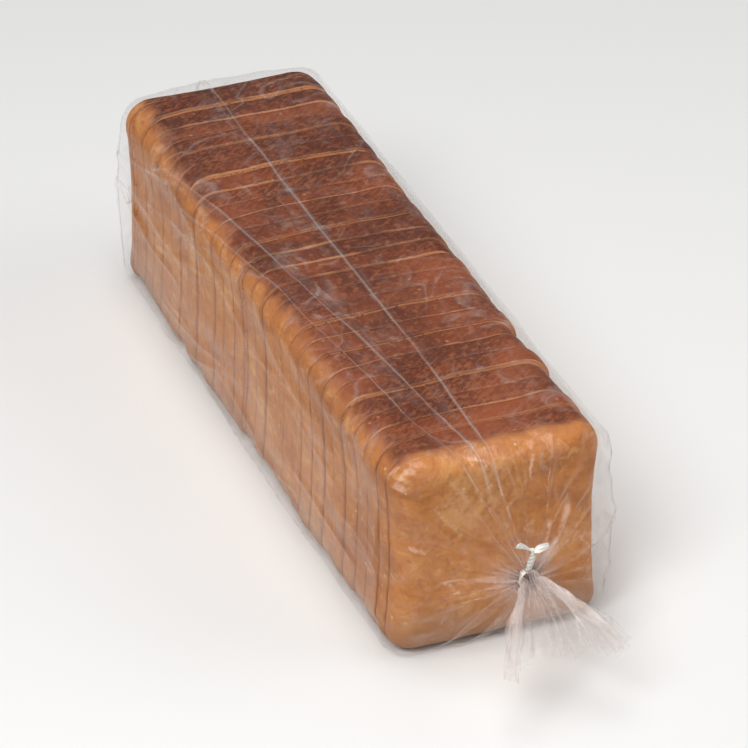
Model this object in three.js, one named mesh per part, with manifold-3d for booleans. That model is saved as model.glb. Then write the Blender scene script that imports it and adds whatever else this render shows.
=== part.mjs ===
// A sliced tin loaf in its own clear film bag, resting on its base.
// Millimetres, +Z up. The loaf runs along Y, and the tied neck of the bag is at its -Y end.
// The origin is the middle of the whole object's underside.
import * as THREE from "three";
import { mergeVertices } from "three/addons/utils/BufferGeometryUtils.js";
import Module from "manifold-3d";

// Bread: a long square loaf baked under a lid, cut into equal slices that still stand together.
const SLICE_COUNT = 28;
const SLICE_PITCH = 14;
const SLICE_GAP = 0.5;
const LOAF_WIDTH = 110;
const LOAF_HEIGHT = 108;
const TOP_CORNER = 13;
const BASE_CORNER = 9;
const SIDE_WAIST = 2.2; // the side walls draw in this much at mid height as the loaf cools
const LID_SAG = 0.8; // the flat top dips this much along its middle
const HEEL_ROUND = 9; // the end crusts round over by this much
const HEEL_STEPS = 5;
const CURVE_STEPS = 3;
const SHIFT = 1.2; // a slice stands up to this far to one side
const SIZE_SPREAD = 0.6; // and is this much larger or smaller than the next

// Film bag: its wall is far thicker than the real film so that it is a solid.
const FILM = 0.6;
const FILM_TO_BREAD = 0.4; // between the bag's floor and the bread
const BAG_HALF_WIDTH = 62;
const BAG_HEIGHT = 112;
const BAG_CORNER = 0.22; // corner radius as a share of the half width
const FLAT_STEPS = 5; // points along each flat of the bag's outline
const CORNER_STEPS = 4; // and round each corner
const BASE_LIFT = FILM + FILM_TO_BREAD;
const NECK_RADIUS = 5.5;
const NECK_HEIGHT = 58;
const NECK_START = 31; // in front of the bread
const NECK_END = 37;
const TAIL_END = 79;
const TAIL_HEIGHT = 34; // middle of the mouth, where the tail has fanned out nearly flat
const TAIL_HALF_THICKNESS = 2.4;

// Twist tie round the neck.
const TIE_WIDTH = 4;
const TIE_THICKNESS = 1;
const TIE_CLEARANCE = 0.4;
const TIE_SIDES = 24;
const TIE_END_WIDTH = 2.6;
const TIE_END_THICKNESS = 1.4;
const TIE_END_STEPS = 8;

const LOAF_LENGTH = SLICE_COUNT * SLICE_PITCH;
const BAG_MIDDLE = BAG_HEIGHT / 2;

const CRUST = { color: 0x9a5c3e, roughness: 0.7, metalness: 0 };
const HEEL_CRUST = { color: 0xb0764e, roughness: 0.75, metalness: 0 };
const CLEAR_FILM = { color: 0xe6e2de, roughness: 0.15, metalness: 0, transparent: true, opacity: 0.3 };
const TIE_PLASTIC = { color: 0xf0ece2, roughness: 0.5, metalness: 0 };

const wasm = await Module();
wasm.setup();

const loaf = new THREE.Group();

function addPiece(name, geometry, look) {
  const piece = new THREE.Mesh(geometry, new THREE.MeshStandardMaterial(look));
  piece.name = name;
  loaf.add(piece);
}

// A repeatable value from -1 to 1 for a slice, a different one for each use.
function variation(slice, use) {
  const wave = Math.sin(slice * 12.9898 + use * 78.233) * 43758.5453;
  return 2 * (wave - Math.floor(wave)) - 1;
}

// A closed skin from one tip, through rings of points, to another tip.
// Rings run anticlockwise seen from -Y, so a skin that goes towards +Y faces out.
function loft(firstTip, rings, lastTip) {
  const size = rings[0].length;
  const points = [firstTip, ...rings.flat(), lastTip];
  const lastPoint = points.length - 1;
  const lastRing = 1 + (rings.length - 1) * size;
  const index = [];
  for (let k = 0; k < size; k += 1) {
    const next = (k + 1) % size;
    index.push(0, 1 + k, 1 + next);
    for (let ring = 0; ring + 1 < rings.length; ring += 1) {
      const here = 1 + ring * size;
      const there = here + size;
      index.push(here + k, there + k, there + next);
      index.push(here + k, there + next, here + next);
    }
    index.push(lastPoint, lastRing + next, lastRing + k);
  }
  const geometry = new THREE.BufferGeometry().setFromPoints(points);
  geometry.setIndex(index);
  geometry.computeVertexNormals();
  return geometry;
}

// The outline of a slice: flat base, waisted sides, rounded corners and a flat lid face.
function sliceOutline(width, height) {
  const half = width / 2;
  const outline = new THREE.Shape();
  outline.moveTo(-half + BASE_CORNER, 0);
  outline.lineTo(half - BASE_CORNER, 0);
  outline.absarc(half - BASE_CORNER, BASE_CORNER, BASE_CORNER, -Math.PI / 2, 0);
  outline.quadraticCurveTo(half - 2 * SIDE_WAIST, height / 2, half, height - TOP_CORNER);
  outline.absarc(half - TOP_CORNER, height - TOP_CORNER, TOP_CORNER, 0, Math.PI / 2);
  outline.quadraticCurveTo(0, height - 2 * LID_SAG, -half + TOP_CORNER, height);
  outline.absarc(-half + TOP_CORNER, height - TOP_CORNER, TOP_CORNER, Math.PI / 2, Math.PI);
  outline.quadraticCurveTo(-half + 2 * SIDE_WAIST, height / 2, -half, BASE_CORNER);
  outline.absarc(-half + BASE_CORNER, BASE_CORNER, BASE_CORNER, Math.PI, 1.5 * Math.PI);
  const points = outline.getPoints(CURVE_STEPS);
  if (points[0].distanceTo(points[points.length - 1]) < 0.01) points.pop();
  return points;
}

// One slice's outline as a ring at y, drawn in towards its middle by inset.
function sliceRing(slice, y, inset) {
  const width = LOAF_WIDTH + SIZE_SPREAD * variation(slice, 1);
  const height = LOAF_HEIGHT + SIZE_SPREAD * variation(slice, 2);
  const shift = SHIFT * variation(slice, 3);
  const scale = 1 - (2 * inset) / LOAF_WIDTH;
  const middle = BASE_LIFT + height / 2;
  return sliceOutline(width, height).map(
    (p) => new THREE.Vector3(shift + p.x * scale, y, middle + (p.y - height / 2) * scale),
  );
}

function middleOf(ring) {
  return new THREE.Box3().setFromPoints(ring).getCenter(new THREE.Vector3());
}

function makeSlice(slice) {
  const near = sliceRing(slice, slice * SLICE_PITCH + SLICE_GAP / 2, 0);
  const far = sliceRing(slice, (slice + 1) * SLICE_PITCH - SLICE_GAP / 2, 0);
  return loft(middleOf(near), [near, far], middleOf(far));
}

// An end crust: cut flat on its inner face, rounded over on its outer one.
function makeHeel(slice, outward) {
  const middleY = (slice + 0.5) * SLICE_PITCH;
  const innerY = middleY - outward * (SLICE_PITCH / 2 - SLICE_GAP / 2);
  const outerY = middleY + (outward * SLICE_PITCH) / 2;
  const rings = [sliceRing(slice, innerY, 0)];
  for (let step = 0; step <= HEEL_STEPS; step += 1) {
    const turn = (step / HEEL_STEPS) * (Math.PI / 2);
    const inset = HEEL_ROUND * (1 - Math.cos(turn));
    rings.push(sliceRing(slice, outerY - outward * HEEL_ROUND * (1 - Math.sin(turn)), inset));
  }
  if (outward < 0) rings.reverse();
  return loft(middleOf(rings[0]), rings, middleOf(rings[rings.length - 1]));
}

// A unit square with rounded corners, anticlockwise from the start of its base.
function unitSquare() {
  const flat = 1 - BAG_CORNER;
  const points = [];
  for (let side = 0; side < 4; side += 1) {
    const around = (side * Math.PI) / 2;
    const origin = new THREE.Vector2();
    for (let step = 0; step < FLAT_STEPS; step += 1) {
      const along = flat * ((2 * step) / FLAT_STEPS - 1);
      points.push(new THREE.Vector2(along, -1).rotateAround(origin, around));
    }
    for (let step = 0; step < CORNER_STEPS; step += 1) {
      const turn = (step / CORNER_STEPS) * (Math.PI / 2);
      const x = flat + BAG_CORNER * Math.sin(turn);
      const z = -flat - BAG_CORNER * Math.cos(turn);
      points.push(new THREE.Vector2(x, z).rotateAround(origin, around));
    }
  }
  return points;
}

// The bag's cross-sections from its closed far end to its open mouth. Each has its place along Y,
// its half width and half height, the height of its middle, and how round it is, from 0 to 1.
function bagSections() {
  const full = { wide: BAG_HALF_WIDTH, high: BAG_MIDDLE, middle: BAG_MIDDLE, round: 0 };
  const scaled = (y, share, round) => ({
    y,
    wide: BAG_HALF_WIDTH * share,
    high: BAG_MIDDLE * share,
    middle: BAG_MIDDLE,
    round,
  });
  const neck = { wide: NECK_RADIUS, high: NECK_RADIUS, middle: NECK_HEIGHT, round: 1 };
  return [
    scaled(LOAF_LENGTH + 13.4, 0.5, 0.5),
    scaled(LOAF_LENGTH + 11.5, 0.78, 0.25),
    scaled(LOAF_LENGTH + 8, 0.92, 0.1),
    scaled(LOAF_LENGTH + 3, 0.985, 0),
    { ...full, y: LOAF_LENGTH - 5 },
    { ...full, y: LOAF_LENGTH / 2 },
    { ...full, y: 5 },
    scaled(-2, 0.965, 0),
    scaled(-9, 0.8, 0.1),
    scaled(-17, 0.55, 0.4),
    scaled(-24, 0.3, 0.8),
    scaled(-28, 0.16, 1),
    { ...neck, y: -NECK_START },
    { ...neck, y: -NECK_END },
    { y: -NECK_END - 6, wide: 11, high: 4.4, middle: NECK_HEIGHT - 2, round: 1 },
    { y: -NECK_END - 18, wide: 20, high: 3.3, middle: NECK_HEIGHT - 8, round: 1 },
    { y: -NECK_END - 30, wide: 26, high: 2.7, middle: NECK_HEIGHT - 16, round: 1 },
    { y: -TAIL_END, wide: 29, high: TAIL_HALF_THICKNESS, middle: TAIL_HEIGHT, round: 1 },
  ];
}

// One cross-section of the bag's skin, moved in from the outer face by depth.
function bagRing(sections, place, corners, depth) {
  const section = sections[place];
  const before = sections[Math.max(place - 1, 0)];
  const after = sections[Math.min(place + 1, sections.length - 1)];
  const run = before.y - after.y;
  const rise = (before.wide + before.high - after.wide - after.high) / 2;
  const slope = Math.hypot(run, rise);
  const inward = (depth * run) / slope;
  const y = section.y + (depth * rise) / slope;
  return corners.map((corner) => {
    const unit = corner.clone().lerp(corner.clone().normalize(), section.round);
    return new THREE.Vector3(
      unit.x * (section.wide - inward),
      y,
      section.middle + unit.y * (section.high - inward),
    );
  });
}

function makeBag() {
  const sections = bagSections();
  const corners = unitSquare();
  const outer = sections.map((_, place) => bagRing(sections, place, corners, 0));
  const inner = sections.map((_, place) => bagRing(sections, place, corners, FILM));
  const farEnd = LOAF_LENGTH + 14;
  const innerTip = new THREE.Vector3(0, farEnd - FILM, BAG_MIDDLE);
  const outerTip = new THREE.Vector3(0, farEnd, BAG_MIDDLE);
  return loft(innerTip, [...inner, ...outer.reverse()], outerTip);
}

function toSolid(geometry) {
  const bare = geometry.index ? geometry.toNonIndexed() : geometry.clone();
  bare.deleteAttribute("normal");
  bare.deleteAttribute("uv");
  const merged = mergeVertices(bare, 1e-3);
  const vertProperties = merged.attributes.position.array;
  const triVerts = new Uint32Array(merged.index.array);
  return new wasm.Manifold(new wasm.Mesh({ numProp: 3, vertProperties, triVerts }));
}

function toGeometry(solid) {
  const mesh = solid.getMesh();
  const geometry = new THREE.BufferGeometry();
  geometry.setAttribute("position", new THREE.BufferAttribute(mesh.vertProperties, 3));
  geometry.setIndex(new THREE.BufferAttribute(mesh.triVerts, 1));
  geometry.computeVertexNormals();
  return geometry;
}

// The tie: a band round the neck, and its two ends twisted together into one tail.
function makeTie() {
  const inside = NECK_RADIUS + TIE_CLEARANCE;
  const outside = inside + TIE_THICKNESS;
  const middleY = -(NECK_START + NECK_END) / 2;
  const profile = [
    new THREE.Vector2(inside, -TIE_WIDTH / 2),
    new THREE.Vector2(outside, -TIE_WIDTH / 2),
    new THREE.Vector2(outside, TIE_WIDTH / 2),
    new THREE.Vector2(inside, TIE_WIDTH / 2),
    new THREE.Vector2(inside, -TIE_WIDTH / 2),
  ];
  const band = new THREE.LatheGeometry(profile, TIE_SIDES).translate(0, middleY, NECK_HEIGHT);
  const section = new THREE.Shape([
    new THREE.Vector2(-TIE_END_THICKNESS / 2, -TIE_END_WIDTH / 2),
    new THREE.Vector2(TIE_END_THICKNESS / 2, -TIE_END_WIDTH / 2),
    new THREE.Vector2(TIE_END_THICKNESS / 2, TIE_END_WIDTH / 2),
    new THREE.Vector2(-TIE_END_THICKNESS / 2, TIE_END_WIDTH / 2),
  ]);
  const path = new THREE.CatmullRomCurve3([
    new THREE.Vector3(0, middleY, NECK_HEIGHT + (inside + outside) / 2),
    new THREE.Vector3(1.5, middleY - 1, NECK_HEIGHT + 13),
    new THREE.Vector3(5, middleY - 4, NECK_HEIGHT + 21),
  ]);
  const twist = new THREE.ExtrudeGeometry(section, { steps: TIE_END_STEPS, extrudePath: path });
  return toGeometry(toSolid(band).add(toSolid(twist)));
}

addPiece("heel_near", makeHeel(0, -1), HEEL_CRUST);
for (let slice = 1; slice < SLICE_COUNT - 1; slice += 1) {
  addPiece(`slice_${String(slice + 1).padStart(2, "0")}`, makeSlice(slice), CRUST);
}
addPiece("heel_far", makeHeel(SLICE_COUNT - 1, 1), HEEL_CRUST);
addPiece("film_bag", makeBag(), CLEAR_FILM);
addPiece("twist_tie", makeTie(), TIE_PLASTIC);

// The loaf stands with the middle of its underside at the origin.
const extent = new THREE.Box3().setFromObject(loaf, true);
const centre = extent.getCenter(new THREE.Vector3());
loaf.position.set(-centre.x, -centre.y, -extent.min.z);

export default loaf;
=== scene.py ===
"""A sliced tin loaf, its slices still standing together, in its own clear film bag with a tied neck."""

import math

import bpy
import numpy as np
from bpy.props import FloatProperty, FloatVectorProperty, IntProperty, PointerProperty
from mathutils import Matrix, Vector, noise


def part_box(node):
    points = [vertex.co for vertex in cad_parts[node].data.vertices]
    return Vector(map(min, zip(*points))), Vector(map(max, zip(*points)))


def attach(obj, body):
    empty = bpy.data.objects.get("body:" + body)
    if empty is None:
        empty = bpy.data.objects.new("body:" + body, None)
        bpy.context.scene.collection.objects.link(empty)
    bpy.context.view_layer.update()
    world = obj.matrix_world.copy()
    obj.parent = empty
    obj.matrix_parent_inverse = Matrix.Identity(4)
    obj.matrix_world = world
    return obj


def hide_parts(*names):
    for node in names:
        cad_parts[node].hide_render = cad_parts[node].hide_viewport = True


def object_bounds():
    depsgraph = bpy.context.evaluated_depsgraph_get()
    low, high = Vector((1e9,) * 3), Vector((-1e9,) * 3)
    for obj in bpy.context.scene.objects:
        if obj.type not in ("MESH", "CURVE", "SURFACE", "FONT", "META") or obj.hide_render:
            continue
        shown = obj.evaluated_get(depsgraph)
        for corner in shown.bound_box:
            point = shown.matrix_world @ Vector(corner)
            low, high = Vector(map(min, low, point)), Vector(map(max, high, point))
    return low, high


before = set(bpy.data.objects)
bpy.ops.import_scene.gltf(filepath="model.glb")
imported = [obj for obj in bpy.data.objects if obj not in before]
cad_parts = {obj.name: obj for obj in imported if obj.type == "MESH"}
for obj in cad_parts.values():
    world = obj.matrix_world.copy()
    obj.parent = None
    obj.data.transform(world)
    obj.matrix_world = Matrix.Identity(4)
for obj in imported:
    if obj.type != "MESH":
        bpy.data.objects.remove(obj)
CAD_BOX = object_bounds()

bl_info = {
    "name": "Tin loaf in a film bag",
    "version": (1, 0, 0),
    "blender": (4, 5, 0),
    "location": "3D View > Sidebar > Tin Loaf",
    "description": "Builds a sliced tin loaf in a clear film bag, with its twist tie and a plain stage",
    "category": "Object",
}

MM = 0.001
BODY = "root"
SLICE_COUNT = 28
SLICE_NAMES = ["heel_near", *(f"slice_{number:02d}" for number in range(2, SLICE_COUNT)), "heel_far"]


def box_mm(node):
    return [np.array(corner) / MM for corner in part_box(node)]


# Places in millimetres, from the frame.
LOAF_START, LOAF_BASE = box_mm("heel_near")[0][1:]
LOAF_END = box_mm("heel_far")[1][1]
LOAF_LENGTH = LOAF_END - LOAF_START
SLICE_PITCH = LOAF_LENGTH / SLICE_COUNT
TIE_LOW, TIE_HIGH = box_mm("twist_tie")
TIE_SETBACK = 1.3
NECK_Y = (TIE_LOW[1] + TIE_HIGH[1]) / 2 + TIE_SETBACK

# Sizes in millimetres.
LOAF_WIDTH, LOAF_HEIGHT = 110.0, 108.0
NECK_Z, NECK_RADIUS = 58.0, 3.0


# ---------------------------------------------------------------- settings


class LoafSettings(bpy.types.PropertyGroup):
    bow: FloatProperty(
        name="Cut bow", description="How far the middle of each cut bows towards the far end",
        default=4.4 * MM, min=0.0, max=8.0 * MM, unit="LENGTH",
    )
    relief: FloatProperty(
        name="Crust relief", description="Height of the lumps and hollows of the crust",
        default=0.75 * MM, min=0.0, max=2.0 * MM, unit="LENGTH",
    )
    lid_dark: FloatVectorProperty(
        name="Lid crust, dark", description="Darkest red-brown of the top crust",
        subtype="COLOR", size=4, default=(0.108, 0.0225, 0.0074, 1.0), min=0.0, max=1.0,
    )
    lid_light: FloatVectorProperty(
        name="Lid crust, light", description="Lighter orange-brown of the top crust",
        subtype="COLOR", size=4, default=(0.276, 0.0605, 0.0155, 1.0), min=0.0, max=1.0,
    )
    gold: FloatVectorProperty(
        name="Golden edge", description="Band along the top edges, where the lid let the crust stay golden",
        subtype="COLOR", size=4, default=(0.530, 0.190, 0.044, 1.0), min=0.0, max=1.0,
    )
    side: FloatVectorProperty(
        name="Side crust", description="Pale tan of the side walls",
        subtype="COLOR", size=4, default=(0.580, 0.228, 0.060, 1.0), min=0.0, max=1.0,
    )
    base: FloatVectorProperty(
        name="Base crust", description="Brown of the base and its edges",
        subtype="COLOR", size=4, default=(0.360, 0.160, 0.066, 1.0), min=0.0, max=1.0,
    )
    crumb: FloatVectorProperty(
        name="Crumb", description="Cream of the cut crumb",
        subtype="COLOR", size=4, default=(0.800, 0.660, 0.440, 1.0), min=0.0, max=1.0,
    )
    seed: IntProperty(
        name="Seed", description="Picks the small differences between slices", default=11, min=0,
    )


class FilmSettings(bpy.types.PropertyGroup):
    right_slack: FloatProperty(
        name="Right slack", description="How far the film stands off the right side",
        default=16.0 * MM, min=0.0, max=17.0 * MM, unit="LENGTH",
    )
    left_slack: FloatProperty(
        name="Left slack", description="How far the film stands off the left side",
        default=7.0 * MM, min=0.0, max=17.0 * MM, unit="LENGTH",
    )
    pleats: IntProperty(
        name="Pleats", description="Fine pleats gathered into the neck", default=26, min=8, max=40,
    )
    pleat_height: FloatProperty(
        name="Pleat height", description="Height of the pleats beside the neck",
        default=4.4 * MM, min=0.0, max=8.0 * MM, unit="LENGTH",
    )
    creases: IntProperty(
        name="Side creases", description="Long creases down each side of the film",
        default=24, min=0, max=60,
    )
    seed: IntProperty(name="Seed", description="Picks where the pleats and creases fall", default=5, min=0)
    haze: FloatProperty(
        name="Haze", description="Share of light that one layer of the film scatters",
        default=0.02, min=0.0, max=0.5, subtype="FACTOR",
    )
    tint: FloatVectorProperty(
        name="Haze colour", description="Colour of the scattered light",
        subtype="COLOR", size=4, default=(0.72, 0.60, 0.55, 1.0), min=0.0, max=1.0,
    )
    roughness: FloatProperty(
        name="Gloss roughness", description="Roughness of the film's reflections",
        default=0.16, min=0.0, max=1.0, subtype="FACTOR",
    )


class TieSettings(bpy.types.PropertyGroup):
    width: FloatProperty(
        name="Width", description="Width of the tie's strip", default=3.6 * MM, min=1.0 * MM, unit="LENGTH",
    )
    turns: FloatProperty(
        name="Turns", description="Turns that the two ends are twisted by", default=2.5, min=0.5, max=6.0,
    )
    colour: FloatVectorProperty(
        name="Strip colour", description="Colour of the tie's plastic",
        subtype="COLOR", size=4, default=(0.86, 0.84, 0.78, 1.0), min=0.0, max=1.0,
    )


class StageSettings(bpy.types.PropertyGroup):
    azimuth: FloatProperty(
        name="Azimuth", description="Direction that the camera looks from",
        default=math.radians(-21.7), subtype="ANGLE",
    )
    elevation: FloatProperty(
        name="Elevation", description="Height of the camera above the horizon",
        default=math.radians(32.5), subtype="ANGLE",
    )
    distance: FloatProperty(
        name="Distance", description="From the camera to the loaf", default=2.48, min=0.2, unit="LENGTH",
    )
    lens: FloatProperty(
        name="Lens", description="Focal length on a 36 mm sensor, in millimetres", default=236.0, min=20.0,
    )
    floor: FloatVectorProperty(
        name="Floor colour", description="Colour of the floor",
        subtype="COLOR", size=4, default=(0.80, 0.80, 0.79, 1.0), min=0.0, max=1.0,
    )


# ---------------------------------------------------------------- small helpers


def make_object(name, points, faces, smooth_angle=None):
    """A mesh object from points in millimetres."""
    mesh = bpy.data.meshes.new(name)
    mesh.from_pydata([tuple(p) for p in np.asarray(points) * MM], [], faces)
    mesh.validate()
    mesh.shade_smooth()
    if smooth_angle is not None:
        mesh.set_sharp_from_angle(angle=smooth_angle)
    made = bpy.data.objects.new(name, mesh)
    bpy.context.scene.collection.objects.link(made)
    return made


def place_in_frame(piece, node):
    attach(piece, BODY)
    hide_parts(node)


def add_values(mesh, name, values):
    """Stores one number per vertex, for the materials to read."""
    layer = mesh.attributes.new(name, "FLOAT", "POINT")
    layer.data.foreach_set("value", np.asarray(values, dtype=np.float32).ravel())


def ring_faces(rows, columns):
    """Quads between closed rings of points that follow each other."""
    faces = []
    for here in range(0, (rows - 1) * columns, columns):
        there = here + columns
        for column in range(columns):
            after = (column + 1) % columns
            faces.append((here + column, there + column, there + after, here + after))
    return faces


def stack_points(x, y, z):
    return np.stack(np.broadcast_arrays(x, y, z), 1)


def smoothstep(low, high, value):
    share = np.clip((value - low) / (high - low), 0.0, 1.0)
    return share * share * (3.0 - 2.0 * share)


def evenly(points, count):
    """A closed run of points laid out again at even steps."""
    closed = np.concatenate([points, points[:1]])
    reach = np.concatenate([[0.0], np.cumsum(np.linalg.norm(np.diff(closed, axis=0), axis=1))])
    wanted = np.linspace(0.0, reach[-1], count, endpoint=False)
    return np.stack([np.interp(wanted, reach, closed[:, axis]) for axis in range(points.shape[1])], 1)


def lumps(points, size, seed):
    """Smooth noise from about -1 to 1 with features of the given size, at points in the same unit."""
    shift = Vector((seed * 7.31, seed * 3.17, seed * 5.53))
    values = [noise.noise(Vector(point) + shift) for point in points.reshape(-1, 3) / size]
    return np.array(values).reshape(points.shape[:-1])


# ---------------------------------------------------------------- material helpers


class Graph:
    """A node tree that is filled left to right."""

    COLUMNS, COLUMN_WIDTH, ROW_HEIGHT = 8, 220, 320

    def __init__(self, tree):
        self.tree = tree
        self.count = 0

    def add(self, kind, inputs=None, **settings):
        made = self.tree.nodes.new(kind)
        row, column = divmod(self.count, self.COLUMNS)
        made.location = (column * self.COLUMN_WIDTH, -row * self.ROW_HEIGHT)
        self.count += 1
        for key, value in settings.items():
            setattr(made, key, value)
        self.fill(made, inputs or {})
        return made

    def fill(self, node, inputs):
        for key, value in inputs.items():
            self.feed(node.inputs[key], value)

    def feed(self, socket, value):
        if isinstance(value, bpy.types.Node):
            value = value.outputs[0]
        if isinstance(value, bpy.types.NodeSocket):
            self.tree.links.new(value, socket)
        else:
            socket.default_value = value

    def math(self, operation, first, second=0.0, clamp=False):
        return self.add("ShaderNodeMath", {0: first, 1: second}, operation=operation, use_clamp=clamp)

    def times(self, first, second, clamp=False):
        return self.math("MULTIPLY", first, second, clamp)

    def less(self, first, second):
        return self.math("SUBTRACT", first, second)

    def total(self, *terms, base=0.0, clamp=False):
        """The sum of a base and of values that each come with a factor."""
        made = base
        for value, factor in terms:
            before, made = made, self.math("MULTIPLY_ADD", value, factor)
            self.feed(made.inputs[2], before)
        made.use_clamp = clamp
        return made

    def jitter(self, value, blotches, size):
        """The value, moved up or down by blotches that run from 0 to 1."""
        return self.total((self.less(blotches, 0.5), size), base=value)

    def span(self, value, low, high, to_low=0.0, to_high=1.0, smooth=True):
        kind = "SMOOTHSTEP" if smooth else "LINEAR"
        inputs = {"Value": value, "From Min": low, "From Max": high, "To Min": to_low, "To Max": to_high}
        return self.add("ShaderNodeMapRange", inputs, interpolation_type=kind)

    def mix(self, share, first, second, blend="MIX"):
        inputs = {0: share, 6: first, 7: second}
        return self.add("ShaderNodeMix", inputs, data_type="RGBA", blend_type=blend).outputs[2]

    def noise(self, place, scale, detail=3.0, roughness=0.5, distortion=0.0):
        inputs = {"Vector": place, "Scale": scale, "Detail": detail}
        inputs.update({"Roughness": roughness, "Distortion": distortion})
        return self.add("ShaderNodeTexNoise", inputs).outputs["Fac"]

    def vector(self, operation, first, second=(0.0, 0.0, 0.0), scale=1.0):
        return self.add("ShaderNodeVectorMath", {0: first, 1: second, 3: scale}, operation=operation)

    def mapped(self, place, scale, turn=0.0, kind="POINT"):
        inputs = {"Vector": place, "Rotation": (0.0, 0.0, turn), "Scale": scale}
        return self.add("ShaderNodeMapping", inputs, vector_type=kind).outputs[0]

    def bump(self, height, strength, distance):
        inputs = {"Height": height, "Strength": strength, "Distance": distance * MM}
        return self.add("ShaderNodeBump", inputs)

    def place(self):
        return self.add("ShaderNodeTexCoord").outputs["Object"]

    def value(self, name):
        return self.add("ShaderNodeAttribute", attribute_name=name).outputs["Fac"]


def new_material(name):
    """A material of one Principled shader, with the graph that feeds it."""
    material = bpy.data.materials.new(name)
    material.use_nodes = True
    material.node_tree.nodes.clear()
    graph = Graph(material.node_tree)
    output = graph.add("ShaderNodeOutputMaterial")
    shader = graph.add("ShaderNodeBsdfPrincipled")
    graph.feed(output.inputs["Surface"], shader)
    return material, graph, shader


def new_group(name, inputs, outputs):
    """A shader node group, its graph, and its sockets: numbers, or a vector where an input has None."""
    tree = bpy.data.node_groups.new(name, "ShaderNodeTree")
    for label, default in inputs.items():
        kind = "NodeSocketVector" if default is None else "NodeSocketFloat"
        socket = tree.interface.new_socket(name=label, in_out="INPUT", socket_type=kind)
        if default is not None:
            socket.default_value = default
    for label in outputs:
        tree.interface.new_socket(name=label, in_out="OUTPUT", socket_type="NodeSocketFloat")
    graph = Graph(tree)
    return tree, graph, graph.add("NodeGroupInput").outputs, graph.add("NodeGroupOutput").inputs


def use_group(graph, name, **inputs):
    """A node group in a graph, built the first time that it is asked for."""
    tree = bpy.data.node_groups.get(name) or GROUPS[name](name)
    return graph.add("ShaderNodeGroup", inputs, node_tree=tree)


def build_mottle(name):
    """Soft blotches of noise, from 0 to 1 around one half."""
    inputs = {"Place": None, "Scale": 40.0, "Contrast": 2.0}
    tree, graph, given, out = new_group(name, inputs, ["Value"])
    broad = graph.noise(given["Place"], given["Scale"], 4.0, 0.6, 0.4)
    value = graph.total((graph.less(broad, 0.5), given["Contrast"]), base=0.5, clamp=True)
    graph.feed(out["Value"], value)
    return tree


def build_pores(name):
    """Small round pits, and pale specks in a few of the cells."""
    inputs = {"Place": None, "Scale": 300.0, "Share": 0.1}
    tree, graph, given, out = new_group(name, inputs, ["Pits", "Specks"])
    cells = graph.add("ShaderNodeTexVoronoi", {"Vector": given["Place"], "Scale": given["Scale"]})
    distance = cells.outputs["Distance"]
    graph.feed(out["Pits"], graph.span(distance, 0.05, 0.45))
    pick = graph.add("ShaderNodeSeparateColor", {"Color": cells.outputs["Color"]})
    chosen = graph.math("LESS_THAN", pick, given["Share"])
    graph.feed(out["Specks"], graph.times(chosen, graph.span(distance, 0.08, 0.26, 1.0, 0.0)))
    return tree


def build_crease(name):
    """A thin crease in the film from one point to another on the flat top, seen from above."""
    inputs = {"Place": None, "From": None, "To": None, "Width": 0.001}
    tree, graph, given, out = new_group(name, inputs, ["Mask"])
    offset = graph.vector("SUBTRACT", given["Place"], given["From"])
    flat = graph.vector("MULTIPLY", offset, (1.0, 1.0, 0.0))
    along = graph.vector("SUBTRACT", given["To"], given["From"])
    progress = graph.vector("DOT_PRODUCT", flat, along).outputs[1]
    length2 = graph.vector("DOT_PRODUCT", along, along).outputs[1]
    share = graph.math("DIVIDE", progress, length2, clamp=True)
    foot = graph.vector("SCALE", along, scale=share)
    gap = graph.vector("DISTANCE", flat, foot).outputs[1]
    ratio = graph.math("DIVIDE", gap, given["Width"])
    graph.feed(out["Mask"], graph.span(ratio, 0.15, 1.0, 1.0, 0.0))
    return tree


GROUPS = {"mottle": build_mottle, "pores": build_pores, "film_crease": build_crease}


# ---------------------------------------------------------------- bread materials

# Colours of the smaller marks on the crust.
LID_FLECK = (0.335, 0.112, 0.043, 1.0)
LID_GRAIN = (0.293, 0.083, 0.029, 1.0)
LID_SPECK = (0.5, 0.25, 0.12, 1.0)
LID_FAR_SHADE = (0.7, 0.6, 0.56, 1.0)
WALL_SCORCH = (0.36, 0.118, 0.031, 1.0)
WALL_PALE = (0.68, 0.345, 0.125, 1.0)
WALL_SCUFF = (0.36, 0.125, 0.036, 1.0)
WALL_RUB = (0.70, 0.39, 0.160, 1.0)
WALL_FLECK = (0.31, 0.105, 0.032, 1.0)
WALL_SPECK = (0.76, 0.50, 0.27, 1.0)
TOP_EDGE = (0.42, 0.15, 0.05, 1.0)
CUT_LINE = (0.57, 0.238, 0.092, 1.0)
CUT_SHADE = (0.5, 0.42, 0.4, 1.0)
# Painted shade for the gaps between the slices on the walls.
CUT_GAP_SHADE = (0.27, 0.095, 0.032, 1.0)


class CrustMarks:
    """The noises that the lid face and the walls share."""

    def __init__(self, graph, place):
        self.blotch = use_group(graph, "mottle", Place=place, Scale=34.0, Contrast=2.6)
        self.patch = use_group(graph, "mottle", Place=place, Scale=95.0, Contrast=2.2)
        self.fleck = graph.span(graph.noise(place, 250.0, 2.0, 0.55), 0.53, 0.68)
        self.fine = graph.noise(place, 420.0, 3.0, 0.62)
        spots = use_group(graph, "pores", Place=place, Scale=210.0, Share=0.045)
        self.specks, self.pits = spots.outputs["Specks"], spots.outputs["Pits"]
        slanting = graph.mapped(place, (1.0, 0.34, 1.0), math.radians(38), "TEXTURE")
        self.grain = graph.noise(slanting, 210.0, 2.0, 0.5, 0.25)
        drawn = graph.mapped(place, (1.0, 0.5, 1.0))
        self.toast = graph.noise(drawn, 27.0, 6.0, 0.64, 0.5)
        self.scuffs = graph.noise(drawn, 150.0, 4.0, 0.7, 0.6)


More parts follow.
